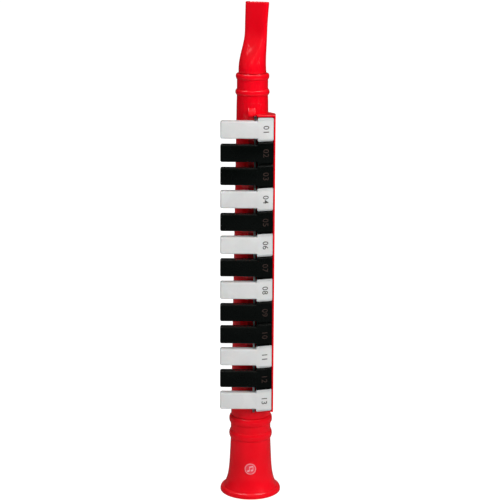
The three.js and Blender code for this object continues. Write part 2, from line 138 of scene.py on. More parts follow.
# %% Blocks
def primitive(name, operator, **settings):
    """Adds a primitive while nothing else is selected, and names it."""
    bpy.ops.object.select_all(action="DESELECT")
    operator(**settings)
    bpy.context.object.name = name
    return bpy.context.object


def settle(obj):
    """Puts a chosen object's place, turn and size into its mesh."""
    bpy.ops.object.transform_apply(location=True, rotation=True, scale=True)
    return obj


def block(name, low, high):
    """A box between two corners given in millimetres."""
    low, high = Vector(low) * MM, Vector(high) * MM
    cube = bpy.ops.mesh.primitive_cube_add
    return settle(primitive(name, cube, size=1, location=(low + high) / 2, scale=high - low))


def rod(name, radius, start, end, sides=32):
    """A round bar between two points given in millimetres."""
    start, end = Vector(start) * MM, Vector(end) * MM
    along = end - start
    bar = primitive(
        name,
        bpy.ops.mesh.primitive_cylinder_add,
        vertices=sides,
        radius=radius * MM,
        depth=along.length,
        location=(start + end) / 2,
        rotation=along.to_track_quat("Z", "Y").to_euler(),
    )
    return settle(bar)


# %% Turned pieces
def turned(name, outline, steps=128):
    """Spins an outline of (radius, height) points in millimetres round the Z axis."""
    points = [Vector((radius, 0, height)) * MM for radius, height in outline]
    obj = primitive(name, bpy.ops.mesh.primitive_plane_add, size=MM)
    edit(obj)
    bpy.ops.mesh.merge(type="CENTER")
    bpy.ops.transform.translate(value=points[0])
    for here, there in zip(points, points[1:]):
        bpy.ops.mesh.extrude_region_move(TRANSFORM_OT_translate={"value": there - here})
    bpy.ops.mesh.select_all(action="SELECT")
    bpy.ops.mesh.spin(steps=steps, angle=2 * math.pi, center=(0, 0, 0), axis=(0, 0, 1))
    bpy.ops.mesh.select_all(action="SELECT")
    bpy.ops.mesh.remove_doubles(threshold=WELD)
    bpy.ops.mesh.normals_make_consistent(inside=False)
    leave()
    return obj


def arc(centre, radii, start, end, steps):
    """Points of part of an ellipse in an outline, from one angle in degrees to another."""
    angles = [math.radians(start + (end - start) * i / steps) for i in range(steps + 1)]
    return [
        (centre[0] + radii[0] * math.cos(a), centre[1] + radii[1] * math.sin(a)) for a in angles
    ]


# %% Tubes of rings
def ring_tube(name, rings, place, sides=64, closed=True):
    """Extrudes a circle once for each ring and lets place(ring, angle) say where its points go.

    A closed tube runs back from its last ring to its first. An open one has its ends filled.
    """
    obj = primitive(name, bpy.ops.mesh.primitive_circle_add, vertices=sides, radius=1)
    edit(obj)
    for _ in rings if closed else rings[1:]:
        bpy.ops.mesh.extrude_region_move(TRANSFORM_OT_translate={"value": (0, 0, 1)})
    leave()
    for vertex in obj.data.vertices:
        ring = rings[round(vertex.co.z) % len(rings)]
        angle = math.atan2(vertex.co.y, vertex.co.x)
        vertex.co = Vector(place(ring, angle)) * MM
    edit(obj)
    bpy.ops.mesh.remove_doubles(threshold=WELD)
    if not closed:
        bpy.ops.mesh.fill_holes(sides=0)
    bpy.ops.mesh.normals_make_consistent(inside=False)
    leave()
    return obj


# %% [markdown]
# Holes and joins are made with the Boolean modifier and applied at once, so that the finished
# mesh carries no live modifiers. Edges are softened with the bevel operator on picked edges.

# %% Joining, cutting and softening
def combine(obj, tools, operation):
    for tool in tools:
        modifier = obj.modifiers.new("combine", "BOOLEAN")
        modifier.operation = operation
        modifier.solver = "EXACT"
        modifier.object = tool
        choose(obj)
        bpy.ops.object.modifier_apply(modifier=modifier.name)
        bpy.data.objects.remove(tool, do_unlink=True)
    return obj


def join(obj, *tools):
    return combine(obj, tools, "UNION")


def cut(obj, *tools):
    return combine(obj, tools, "DIFFERENCE")


def runs_back(a, b):
    """Whether an edge runs from front to back."""
    return abs(a.y - b.y) > 1


def soften(obj, test, width, segments=4):
    """Rounds the edges that pass the test, by a width in millimetres."""
    edit(obj, "EDGE")
    pick_edges(obj, test)
    bpy.ops.mesh.bevel(offset=width * MM, segments=segments, profile=0.5, affect="EDGES")
    leave()
    return obj


def slice_off(obj, point, normal):
    """Cuts away what lies on the normal's side of a plane and closes the cut."""
    edit(obj)
    bpy.ops.mesh.bisect(
        plane_co=Vector(point) * MM, plane_no=normal, use_fill=True, clear_outer=True
    )
    leave()
    return obj


def smooth(obj, angle=32):
    choose(obj)
    bpy.ops.object.shade_smooth_by_angle(angle=math.radians(angle))
    return obj


# %% [markdown]
# ## Finishes
#
# Moulded toy plastic is shiny, but never perfectly so. Its skin has a faint orange-peel ripple
# from the mould, hair-fine scratches from handling, and a little dust on faces that look up. Each
# of these is a small shader group, built once and placed in each material with its own values.

# %% Group tools
def new_group(name, inputs, outputs):
    group = bpy.data.node_groups.new(name, "ShaderNodeTree")
    for label, kind, value in inputs:
        socket = group.interface.new_socket(label, in_out="INPUT", socket_type=kind)
        socket.default_value = value
    for label, kind in outputs:
        group.interface.new_socket(label, in_out="OUTPUT", socket_type=kind)
    return group, group.nodes.new("NodeGroupInput"), group.nodes.new("NodeGroupOutput")


def add(tree, kind, **settings):
    node = tree.nodes.new(kind)
    for label, value in settings.items():
        if label in node.inputs and not hasattr(node, label):
            node.inputs[label].default_value = value
        else:
            setattr(node, label, value)
    return node


def link(output, socket):
    socket.id_data.links.new(output, socket)


def maths(tree, operation, first, second=None):
    node = add(tree, "ShaderNodeMath", operation=operation)
    for socket, value in zip(node.inputs, (first, second)):
        if value is None:
            continue
        if hasattr(value, "is_linked"):
            link(value, socket)
        else:
            socket.default_value = value
    return node.outputs[0]


def noise_on(tree, stretch=None, turn=(0, 0, 0), **settings):
    """A noise that is fixed to the piece, and stretched or turned on it if asked."""
    place = add(tree, "ShaderNodeTexCoord").outputs["Object"]
    noise = add(tree, "ShaderNodeTexNoise", **settings)
    if stretch:
        mapping = add(tree, "ShaderNodeMapping", Rotation=turn, Scale=stretch)
        link(place, mapping.inputs["Vector"])
        place = mapping.outputs["Vector"]
    link(place, noise.inputs["Vector"])
    return noise


# %% Mould ripple
def make_ripple_group():
    """Height of the faint orange-peel skin, with a slower wave under it."""
    group, source, sink = new_group(
        "mould ripple",
        [("Size", "NodeSocketFloat", 600.0), ("Wave", "NodeSocketFloat", 45.0)],
        [("Height", "NodeSocketFloat"), ("Mask", "NodeSocketFloat")],
    )
    fine = noise_on(group, Detail=2.0, Roughness=0.5)
    slow = noise_on(group, Detail=1.0, Roughness=0.4)
    link(source.outputs["Size"], fine.inputs["Scale"])
    link(source.outputs["Wave"], slow.inputs["Scale"])
    slow_part = maths(group, "MULTIPLY", slow.outputs["Fac"], 2.0)
    link(maths(group, "ADD", fine.outputs["Fac"], slow_part), sink.inputs["Height"])
    link(slow.outputs["Fac"], sink.inputs["Mask"])
    return group


ripple_group = make_ripple_group()


# %% Handling scratches
scratch_band = 0.004  # half the band of noise values that makes a scratch


def make_scratch_group():
    """Thin curved lines where two stretched noises cross a narrow band of values."""
    group, source, sink = new_group(
        "handling scratches",
        [("Length", "NodeSocketFloat", 90.0), ("Amount", "NodeSocketFloat", 0.5)],
        [("Mask", "NodeSocketFloat")],
    )
    total = None
    for turn in ((0.3, 0.2, 0.9), (1.1, 0.5, -0.6)):
        noise = noise_on(group, (1.0, 7.0, 1.0), turn, Detail=3.0, Distortion=0.3)
        link(source.outputs["Length"], noise.inputs["Scale"])
        off_middle = maths(group, "ABSOLUTE", maths(group, "SUBTRACT", noise.outputs["Fac"], 0.5))
        line = maths(group, "LESS_THAN", off_middle, scratch_band)
        total = line if total is None else maths(group, "MAXIMUM", total, line)
    link(maths(group, "MULTIPLY", total, source.outputs["Amount"]), sink.inputs["Mask"])
    return group


scratch_group = make_scratch_group()


# %% Settled dust
def make_dust_group():
    """A patchy mask that is strongest on faces that look up."""
    group, source, sink = new_group(
        "settled dust",
        [("Amount", "NodeSocketFloat", 0.3)],
        [("Mask", "NodeSocketFloat")],
    )
    surface = add(group, "ShaderNodeNewGeometry")
    parts = add(group, "ShaderNodeSeparateXYZ")
    noise = noise_on(group, Scale=260.0, Detail=6.0, Roughness=0.65)
    link(surface.outputs["Normal"], parts.inputs["Vector"])
    upward = maths(group, "MAXIMUM", parts.outputs["Z"], 0.01)
    patches = maths(group, "MULTIPLY", upward, noise.outputs["Fac"])
    link(maths(group, "MULTIPLY", patches, source.outputs["Amount"]), sink.inputs["Mask"])
    return group


dust_group = make_dust_group()
print("shader groups:", [group.name for group in bpy.data.node_groups])


# %% [markdown]
# The plastics differ only in colour, gloss and how much the handling shows, so one function
# makes them all. Colour goes from a deep tone to a light tone along the slow wave of the mould,
# then towards dust grey. Roughness rises in the scratches and under the dust. The ripple and
# the scratches also feed one bump.

# %% Tools for a material
def new_material(name):
    material = bpy.data.materials.new(name)
    material.use_nodes = True
    tree = material.node_tree
    return material, tree, tree.nodes["Principled BSDF"]


def toned(tree, mask, colours, positions):
    """A colour that goes from one tone to another as a mask goes between two values."""
    ramp = add(tree, "ShaderNodeValToRGB")
    for stop, position, colour in zip(ramp.color_ramp.elements, positions, colours):
        stop.position = position
        stop.color = (*colour, 1)
    link(mask, ramp.inputs["Fac"])
    return ramp.outputs["Color"]


def finish_skin(tree, shader, roughness, height, relief, strength=1.0):
    """Joins a changing roughness and a bump of so many metres to the shader."""
    link(roughness, shader.inputs["Roughness"])
    bump = add(tree, "ShaderNodeBump", Strength=strength, Distance=relief)
    link(height, bump.inputs["Height"])
    link(bump.outputs["Normal"], shader.inputs["Normal"])


# %% Moulded plastic
plastic_bend = 1.5  # how strongly plastic bends light
scatter_depth = 1.5 * MM
dust_grey = (0.5, 0.47, 0.43, 1)
scratch_dulling, wave_dulling, dust_dulling = 0.25, 0.06, 0.8
skin_relief = 0.02 * MM


def plastic(name, deep, light, rough, gloss=0.3, scratches=0.5, dust=0.2, scatter=0.0):
    material, tree, shader = new_material(name)
    shader.inputs["IOR"].default_value = plastic_bend
    shader.inputs["Specular IOR Level"].default_value = gloss
    shader.inputs["Subsurface Weight"].default_value = scatter
    shader.inputs["Subsurface Scale"].default_value = scatter_depth

    skin = add(tree, "ShaderNodeGroup", node_tree=ripple_group)
    lines = add(tree, "ShaderNodeGroup", node_tree=scratch_group)
    lines.inputs["Amount"].default_value = scratches
    settled = add(tree, "ShaderNodeGroup", node_tree=dust_group)
    settled.inputs["Amount"].default_value = dust

    dusty = add(tree, "ShaderNodeMix", data_type="RGBA")
    dusty.inputs["B"].default_value = dust_grey
    link(settled.outputs["Mask"], dusty.inputs["Factor"])
    clean = toned(tree, skin.outputs["Mask"], (deep, light), (0.3, 0.7))
    link(clean, dusty.inputs["A"])
    link(dusty.outputs["Result"], shader.inputs["Base Color"])

    worn = maths(tree, "MULTIPLY", lines.outputs["Mask"], scratch_dulling)
    uneven = maths(tree, "MULTIPLY", skin.outputs["Mask"], wave_dulling)
    powder = maths(tree, "MULTIPLY", settled.outputs["Mask"], dust_dulling)
    touched = maths(tree, "ADD", worn, uneven)
    roughness = maths(tree, "ADD", touched, maths(tree, "ADD", powder, rough))
    height = maths(tree, "SUBTRACT", skin.outputs["Height"], lines.outputs["Mask"])
    finish_skin(tree, shader, roughness, height, skin_relief)
    return material


red_plastic = plastic(
    "red moulded plastic", (0.80, 0.0003, 0.008), (0.90, 0.0005, 0.011), 0.09,
    gloss=0.5, dust=0.04, scatter=0.05,
)
white_plastic = plastic(
    "white moulded plastic", (0.60, 0.605, 0.60), (0.67, 0.675, 0.67), 0.24, dust=0.15, scatter=0.1
)
black_plastic = plastic(
    "black moulded plastic", (0.0010, 0.0018, 0.0015), (0.0018, 0.0028, 0.0024), 0.16,
    gloss=0.2, dust=0.04,
)
print("plastics:", red_plastic.name, white_plastic.name, black_plastic.name)

# %% [markdown]
# Metal parts are drawn wire and rolled sheet. Both carry fine lines along the direction they
# were drawn or rolled in, so the noise is stretched along one axis. Brass and aluminium also
# tarnish in soft patches.


# %% Drawn and rolled metal
line_size, patch_size = 4.0, 180.0
line_dulling, line_strength = 0.25, 0.6


def metal(name, clean, stained, rough, grain=(900.0, 900.0, 15.0)):
    material, tree, shader = new_material(name)
    shader.inputs["Metallic"].default_value = 1.0

    lines = noise_on(tree, grain, Scale=line_size, Detail=3.0)
    patches = noise_on(tree, Scale=patch_size, Detail=4.0)
    colour = toned(tree, patches.outputs["Fac"], (clean, stained), (0.45, 0.75))
    link(colour, shader.inputs["Base Color"])
    spread = maths(tree, "MULTIPLY", lines.outputs["Fac"], line_dulling)
    roughness = maths(tree, "ADD", spread, rough)
    finish_skin(tree, shader, roughness, lines.outputs["Fac"], skin_relief, line_strength)
    return material


rod_steel = metal("drawn steel rod", (0.62, 0.63, 0.65), (0.42, 0.42, 0.43), 0.18)
spring_steel = metal("spring wire", (0.55, 0.55, 0.57), (0.33, 0.33, 0.35), 0.22, (400, 400, 400))
reed_brass = metal("reed brass", (0.80, 0.56, 0.22), (0.52, 0.33, 0.13), 0.2, (15, 900, 900))
plate_aluminium = metal("reed plate sheet", (0.74, 0.75, 0.77), (0.55, 0.55, 0.57), 0.28)
print("metals:", rod_steel.name, spring_steel.name, reed_brass.name, plate_aluminium.name)

# %% [markdown]
# The pads are felted foam with a soft nap, and the gasket is cut from thin black sheet. Both
# are dull and speckled. The figures on the keys are printed ink, which is a little uneven and
# thinner on the black keys.


# %% Pad foam and printing ink
speckle_dulling = 0.15


def speckled(name, dark, light, rough, size, relief):
    material, tree, shader = new_material(name)
    noise = noise_on(tree, Scale=size, Detail=5.0, Roughness=0.7)
    colour = toned(tree, noise.outputs["Fac"], (dark, light), (0.35, 0.65))
    link(colour, shader.inputs["Base Color"])
    spread = maths(tree, "MULTIPLY", noise.outputs["Fac"], speckle_dulling)
    roughness = maths(tree, "ADD", spread, rough)
    finish_skin(tree, shader, roughness, noise.outputs["Fac"], relief * MM)
    return material


pad_foam = speckled("pad foam", (0.03, 0.03, 0.032), (0.09, 0.09, 0.095), 0.75, 2500, 0.08)
gasket_sheet = speckled("gasket sheet", (0.02, 0.02, 0.022), (0.04, 0.04, 0.042), 0.6, 1500, 0.03)
dark_ink = speckled("dark ink", (0.035, 0.03, 0.028), (0.075, 0.065, 0.06), 0.4, 1800, 0.01)
faint_ink = speckled("faint ink", (0.02, 0.012, 0.010), (0.05, 0.028, 0.022), 0.4, 1800, 0.01)
badge_red = plastic("badge red plastic", (0.80, 0.04, 0.06), (0.88, 0.07, 0.10), 0.25)
badge_ink = speckled("badge ink", (0.84, 0.32, 0.36), (0.92, 0.46, 0.50), 0.35, 1500, 0.01)
print("soft finishes:", pad_foam.name, gasket_sheet.name)


# %% [markdown]
# A finished piece needs three things: its material, the body that carries it, and the node it
# stands for. One function does them all.


# %% Finishing a piece
def finish_piece(obj, material, body, slot, *nodes, angle=32):
    smooth(obj, angle)
    obj.data.materials.clear()
    obj.data.materials.append(material)
    if body:
        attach(obj, body)
    if nodes:
        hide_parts(*nodes)
    return obj


# %% [markdown]
# ## The bell
#
# The bell is one moulding: a socket for the tube, two raised rings, a throat that hardly widens,
# and a flare that sweeps out to a rounded lip. A lathe outline says all of that in one line, so
# it is spun. The flare is a power curve, because a real bell bends most near its mouth.

# %% Bell outline
bell_throat = 16.65
bell_wall = 1.9
flare_drift = 1.9
flare_sweep = 4.05
flare_power = 6
lip_bulge = 2.7
lip_top = 4.3
lip_widest = 1.2
rim_rounding = 0.4
rim_chamfer = 0.3
socket_chamfer = 0.2
top_inset, top_rounding = 0.1, 0.25
flare_steps, flare_crowding = 26, 1.6
bell_rings = (50.8, 63.7)
ring_half = 3.3
ring_bulge = 1.35
web_under = 46.5
web_over = bell_high.z - 17.5
flare_top = bell_rings[0] - ring_half
lip_start = bell_throat + flare_drift + flare_sweep
rim_radius = lip_start + lip_bulge


def flare_radius(height):
    share = 1 - (height - lip_top) / (flare_top - lip_top)
    return bell_throat + flare_drift * share + flare_sweep * share**flare_power


def bell_outline():
    shares = [(step / flare_steps) ** flare_crowding for step in range(flare_steps)]
    heights = [lip_top + (flare_top - lip_top) * share for share in shares]
    outer_flare = [(flare_radius(height), height) for height in heights]
    inner_flare = [(radius - bell_wall, height) for radius, height in reversed(outer_flare)]
    lip = arc((lip_start, lip_widest), (lip_bulge, lip_top - lip_widest), 0, 90, 10)[:-1]
    under = arc((rim_radius - rim_rounding, rim_rounding), (rim_rounding,) * 2, -90, 0, 4)
    rings = []
    for height in bell_rings:
        rings += arc((bell_throat, height), (ring_bulge, ring_half), -90, 90, 14)
    top_centre = (bell_throat - top_inset - top_rounding, bell_high.z - top_rounding)
    top = arc(top_centre, (top_rounding,) * 2, 0, 90, 3)
    inner = bell_throat - bell_wall
    rim_inner = rim_radius - bell_wall
    return (
        [(0, web_under), (inner, web_under)]
        + inner_flare
        + [(rim_inner, lip_widest), (rim_inner, rim_rounding), (rim_inner + rim_chamfer, 0)]
        + under
        + lip
        + outer_flare
        + rings
        + top
        + [(inner + socket_chamfer, bell_high.z), (inner, bell_high.z - socket_chamfer)]
        + [(inner, web_over), (0, web_over)]
    )


bell = turned("bell_shell", bell_outline())
finish_piece(bell, red_plastic, "body", "red_plastic", "bell")
print("bell:", len(bell.data.polygons), "faces")

# %% [markdown]
# ## The round badge
#
# A badge the size of a fingernail sits on the front of the bell. Its face has a raised border
# and a pair of notes, a little paler than the bell. A flat badge would stand off a round bell,
# so it is modelled flat, with enough rings to bend, and then every point is laid on the flare.

# %% Badge disc and notes
badge_z = 24.5
badge_radius = 5.0
badge_height = 0.45
badge_rounding = 0.3
badge_sink = 0.8  # how far its underside reaches into the bell
relief = badge_height + 0.12
relief_sink = 0.3


def wrap_on_bell(obj):
    """Lays a flat piece on the flare. Its X runs round, its Y runs up, its Z stands out."""
    for vertex in obj.data.vertices:
        across, up, out = vertex.co / MM
        height = badge_z + up
        radius = flare_radius(height) + out
        angle = across / flare_radius(badge_z)
        vertex.co = Vector((radius * math.sin(angle), -radius * math.cos(angle), height)) * MM
    return obj


def badge_face(name, radius, top, sides=64):
    """A disc with a rounded border, as rings from the middle of its face to its underside."""
    face = [(radius * share, top) for share in (0, 0.2, 0.4, 0.6, 0.8)]
    border_centre = (radius - badge_rounding, top - badge_rounding)
    border = arc(border_centre, (badge_rounding,) * 2, 90, 0, 4)
    under = [(radius * share, -badge_sink) for share in (1, 0.8, 0.6, 0.4, 0.2, 0)]
    return turned(name, face + border + under, sides)


def note_bar(start, end, width):
    """A straight stroke of the note, cut into short lengths so that it can bend."""
    bar = block("stroke", (-0.5, -width / 2, -relief_sink), (0.5, width / 2, relief))
    edit(bar)
    bpy.ops.mesh.subdivide(number_cuts=7)
    leave()
    run = Vector(end) - Vector(start)
    turn = Matrix.Rotation(math.atan2(run.y, run.x), 4, "Z")
    stretch = Matrix.Diagonal((run.length, 1, 1, 1))
    middle = Matrix.Translation((Vector(start) + Vector(end)).to_3d() / 2 * MM)
    bar.data.transform(middle @ turn @ stretch)
    return bar


def note_head(centre):
    """A disc that is stretched to an oval and leans, as a printed note's head does."""
    radius, lean, stretch = 0.95, math.radians(22), (1.25, 0.85, 1, 1)
    head = badge_face("head", radius, relief, 32)
    shape = Matrix.Rotation(lean, 4, "Z") @ Matrix.Diagonal(stretch)
    head.data.transform(Matrix.Translation(Vector((*centre, 0)) * MM) @ shape)
    return head


def merge_objects(name, pieces):
    """Puts separate closed shells that only overlap slightly into one object."""
    bpy.ops.object.select_all(action="DESELECT")
    for piece in pieces:
        piece.select_set(True)
    bpy.context.view_layer.objects.active = pieces[0]
    bpy.ops.object.join()
    pieces[0].name = name
    return pieces[0]


badge = wrap_on_bell(badge_face("bell_badge", badge_radius, badge_height))
finish_piece(badge, badge_red, "body", "red_plastic")
border_inner, border_outer, border_foot = 4.1, 4.5, 0.2
border_middle = ((border_inner + border_outer) / 2, relief - 0.1)
border_outline = [(border_inner, border_foot)] + arc(border_middle, (0.2, 0.1), 180, 0, 6)
border_outline += [(border_outer, border_foot), (border_inner, border_foot)]
border_ring = turned("badge_border", border_outline, 64)
stem_width, beam_width = 0.42, 0.9
notes = [
    note_head((-1.6, -1.7)),
    note_head((1.3, -1.15)),
    note_bar((-0.67, -1.6), (-0.67, 1.9), stem_width),
    note_bar((2.2, -1.05), (2.2, 2.4), stem_width),
    note_bar((-0.82, 1.65), (2.36, 2.25), beam_width),
]
badge_relief = wrap_on_bell(merge_objects("badge_relief", [border_ring] + notes))
finish_piece(badge_relief, badge_ink, "body", "white_plastic")
print("badge relief:", len(badge_relief.data.polygons), "faces")

# %% [markdown]
# ## The barrel
#
# The barrel joins the tube to the mouthpiece. It is another turned piece: a short cylinder with
# two raised rings, a socket below for the tube and a socket above in which the mouthpiece turns.
# The outline goes up the outside and comes back down the inside, so the wall is real.

# %% Barrel outline
barrel_low, barrel_high = node_box("barrel")
barrel_radius = 12.5
barrel_rings = ((339.2, 2.2, 1.25), (351.8, 2.2, 0.95))
tenon_socket = 10.9
barrel_web = (339.2, 340.8)
web_bore = 8.0
mouth_socket = 9.65
barrel_drop = 0.27  # the dressed barrel closes most of the gap above the tube
foot_chamfer = 0.08
rim_step, rim_round = 0.25, 0.3


def barrel_outline():
    bottom, top = barrel_low.z - barrel_drop, barrel_high.z
    foot = barrel_radius + 0.18
    outside = [(foot - foot_chamfer, bottom), (foot, bottom + foot_chamfer)]
    for height, half, bulge in barrel_rings:
        outside += arc((barrel_radius, height), (bulge, half), -90, 90, 14)
    rim_centre = (barrel_radius - rim_step - rim_round, top - rim_round)
    outside += arc(rim_centre, (rim_round,) * 2, 0, 90, 4)
    inside = [
        (mouth_socket + rim_round, top),
        (mouth_socket, top - rim_round),
        (mouth_socket, barrel_web[1]),
        (web_bore, barrel_web[1]),
        (web_bore, barrel_web[0]),
        (tenon_socket, barrel_web[0]),
        (tenon_socket, bottom),
    ]
    return outside + inside + outside[:1]


barrel = turned("barrel_ring", barrel_outline())
finish_piece(barrel, red_plastic, "body", "red_plastic", "barrel")
print("barrel:", len(barrel.data.polygons), "faces")

# %% [markdown]
# ## The mouthpiece
#
# The mouthpiece is round where it meets the barrel and flat at the lips. A mould maker would
# loft it: a stack of sections that change from a circle to a rounded slot. The same is done
# here. A circle is extruded level by level, up the outside, over the lip and down through the
# blow hole, and each level is pressed to its section. It stands turned by 25 degrees.

# %% Mouthpiece sections
mouth_radius = 11.2
mouth_tenon = 9.5
mouth_wall = 1.9
mouth_turn = 25
bill_size = (20.0, 5.5)
bill_hole = (14.5, 2.6)
bill_start = 353.0
bill_end = 390.0
bill_squareness = 0.55
waist_inset = 2.4
waist_narrowing = 1.2
mouth_base = barrel_high.z + 0.3
mouth_tenon_end = barrel_high.z - 12
tenon_chamfer = 0.4
hole_chamfer = 0.25
outer_levels, lip_levels, inner_levels = 34, 5, 20


def mix(first, second, share):
    return first + (second - first) * share


def smooth_share(value, low, high):
    share = min(max((value - low) / (high - low), 0), 1)
    return share**3 * (10 - 15 * share + 6 * share**2)


def power_of(value, power):
    return math.copysign(abs(value) ** power, value)


def bill_point(height, angle, radius, size, back_inset, shrink):
    """A point of a section that is a circle at the base and a rounded slot at the lips."""
    share = smooth_share(height, bill_start, bill_end)
    rise = min(max((height - bill_start) / (tip_z - bill_start), 0), 1)
    waist = math.sin(math.pi * rise)
    power = mix(1, bill_squareness, share)
    half_width = mix(radius, size[0] / 2, share) - waist * waist_narrowing / 2
    half_depth = mix(radius, size[1] / 2, share)
    back = mix(radius, mouth_radius - back_inset, share) - waist * waist_inset
    across = power_of(math.cos(angle), power) * (half_width - shrink)
    deep = power_of(math.sin(angle), power) * (half_depth - shrink)
    return across, back - half_depth + deep


def mouth_ring_place(ring, angle):
    kind, height, shrink = ring
    if kind == "tenon":
        x, y = (mouth_tenon - shrink) * math.cos(angle), (mouth_tenon - shrink) * math.sin(angle)
    elif kind == "outside":
        x, y = bill_point(height, angle, mouth_radius, bill_size, 0, shrink)
    else:
        inset = (bill_size[1] - bill_hole[1]) / 2
        x, y = bill_point(height, angle, mouth_tenon - mouth_wall, bill_hole, inset, shrink)
    turn = math.radians(-mouth_turn)
    return x * math.cos(turn) - y * math.sin(turn), x * math.sin(turn) + y * math.cos(turn), height


def mouth_rings():
    lip = 0.7
    foot = 0.35
    rings = [("tenon", mouth_tenon_end, tenon_chamfer)]
    rings += [("tenon", mouth_tenon_end + tenon_chamfer, 0)]
    rings += [("tenon", mouth_base, 0), ("outside", mouth_base, foot)]
    rings += [("outside", mouth_base + foot * 0.3, foot * 0.1), ("outside", mouth_base + foot, 0)]
    low, span = mouth_base + foot, tip_z - lip - mouth_base - foot
    for level in range(1, outer_levels + 1):
        rings.append(("outside", low + span * level / outer_levels, 0))
    for level in range(1, lip_levels + 1):
        angle = math.pi / 2 * level / lip_levels
        rings.append(("outside", tip_z - lip + lip * math.sin(angle), lip * (1 - math.cos(angle))))
    high, depth = tip_z - hole_chamfer, tip_z - hole_chamfer - mouth_tenon_end
    rings += [("inside", tip_z, -hole_chamfer), ("inside", high, 0)]
    for level in range(1, inner_levels + 1):
        rings.append(("inside", high - depth * level / inner_levels, 0))
    return rings


mouthpiece = ring_tube("mouthpiece_bill", mouth_rings(), mouth_ring_place, 96)
finish_piece(mouthpiece, red_plastic, "mouthpiece", "red_plastic", "mouthpiece", angle=40)
print("mouthpiece:", len(mouthpiece.data.polygons), "faces")

# %% [markdown]
# ## The body shells
#
# The long tube is moulded in two halves that meet at the sides. The front half carries the key
# tray on the right, the ridge that the keys bridge, and the spring channel. The back half is a
# plain trough. They are made as one solid first, so that all the curves run through, and are
# parted at the end. Blocks are softened before they are joined, because a bevel is simple on a
# block and unreliable on a finished boolean.

# %% Tube and tray sizes
body_wall = 1.8
tube_low_z, tube_low_radius = bell_high.z + 0.3, 16.4
tube_high_z, tube_high_radius = barrel_low.z - 0.3, 12.7
lower_tenon = bell_throat - bell_wall - 0.3
upper_tenon = tenon_socket - 0.3
key_pitch = 18.8
keys_low_z = 77.0
keys_high_z = keys_low_z + key_count * key_pitch
tray_low_z, tray_high_z = keys_low_z - 1.7, keys_high_z + 1.7
tray_right = 18.6
tray_wall = 1.4
tray_side_wall = 1.2
tray_floor_y = -14.5
tray_back_y = -12.5
tray_front_y = -19.5
ridge_front_y = -17.0
ridge_sides = (-3.7, 3.0)
ridge_nose_z = tray_high_z + 5
cell_left = 3.4
cell_rib = 1.2
fit_chamfer = 0.4
far, ahead = 60, 30  # cutters that end this far out leave nothing standing
under_z, over_z = -10, 420
slant_outer = ((tray_right, -8.2), 12.4)
slant_inner = ((tray_right - tray_side_wall, -8.92), 10.9)


def key_z(number):
    return keys_high_z - (number - 0.5) * key_pitch


# %% Outer solids
def outer_tube():
    outline = [
        (0, body_low.z),
        (lower_tenon - fit_chamfer, body_low.z),
        (lower_tenon, body_low.z + fit_chamfer),
        (lower_tenon, tube_low_z),
        (tube_low_radius - 0.3, tube_low_z),
        (tube_low_radius, tube_low_z + 0.3),
        (tube_high_radius, tube_high_z - 0.08),
        (tube_high_radius - 0.08, tube_high_z),
        (upper_tenon, tube_high_z),
        (upper_tenon, body_high.z - fit_chamfer),
        (upper_tenon - fit_chamfer, body_high.z),
        (0, body_high.z),
    ]
    return turned("tube", outline, 128)


def slanted(obj, top, foot_x):
    """Slices off the back corner, from the tray's right wall down to the tube."""
    along = Vector((foot_x - top[0], -top[1], 0)).normalized()
    return slice_off(obj, (*top, 0), (along.y, -along.x, 0))


def outer_tray():
    tray = block("tray", (0, tray_front_y, tray_low_z), (tray_right, 0, tray_high_z))
    slanted(tray, *slant_outer)

    def on_wall(a, b):
        return a.x > tray_right - 0.1 and b.x > tray_right - 0.1

    def is_upright(a, b):
        return abs(a.z - b.z) > 200

    def on_an_end(a, b):
        return abs(a.z - b.z) < 0.01 and min(a.y, b.y) < -0.1

    soften(tray, lambda a, b: on_wall(a, b) and a.y < -19 and b.y < -19, 0.7)
    soften(tray, lambda a, b: on_wall(a, b) and is_upright(a, b) and a.y > -8.5, 1.5, 6)
    return soften(tray, on_an_end, 0.5)


def outer_ridge():
    """A bar down the front of the tube, whose upper end slopes down in a rounded nose."""
    foot_z, nose_start = 74, tray_high_z + 0.8
    left, right = ridge_sides
    ridge = block("ridge", (left, ridge_front_y, foot_z), (right, 0, ridge_nose_z))
    drop = -(tube_high_radius - 0.36) - ridge_front_y
    nose = Vector((0, drop, ridge_nose_z - nose_start)).normalized()
    slice_off(ridge, (0, ridge_front_y, nose_start), (0, -nose.z, nose.y))
    soften(ridge, lambda a, b: abs(a.x - b.x) > 3 and min(a.z, b.z) > 320 and a.y < -16, 2.0, 8)
    return soften(ridge, lambda a, b: max(a.y, b.y) < -12 and abs(a.x - b.x) < 0.01, 1.2, 6)


# %% [markdown]
# The inside is one solid too: the bore of the tube, the wider bores at both ends, and the wind
# chamber behind the tray's floor. Everything that must stay, such as the floor itself, is cut
# out of this inner solid before it is cut out of the body.

# %% Inner solids
def inner_chamber():
    past = 5  # how far a cutter runs past what it cuts
    outline = [
        (0, body_low.z - past),
        (lower_tenon - body_wall, body_low.z - past),
        (lower_tenon - body_wall, tube_low_z + 2),
        (tube_low_radius - body_wall, tube_low_z + 4),
        (tube_high_radius - body_wall, tube_high_z - 3),
        (upper_tenon - body_wall, tube_high_z - 1.5),
        (upper_tenon - body_wall, body_high.z + past),
        (0, body_high.z + past),
    ]
    chamber = turned("chamber", outline, 128)
    low = (0, tray_back_y, tray_low_z + tray_wall)
    high = (tray_right - tray_side_wall, 0, tray_high_z - tray_wall)
    join(chamber, slanted(block("behind", low, high), *slant_inner))
    slab_low = (cell_left - cell_rib, -ahead, tray_low_z)
    return cut(chamber, block("slab", slab_low, (tray_right, tray_back_y, tray_high_z)))


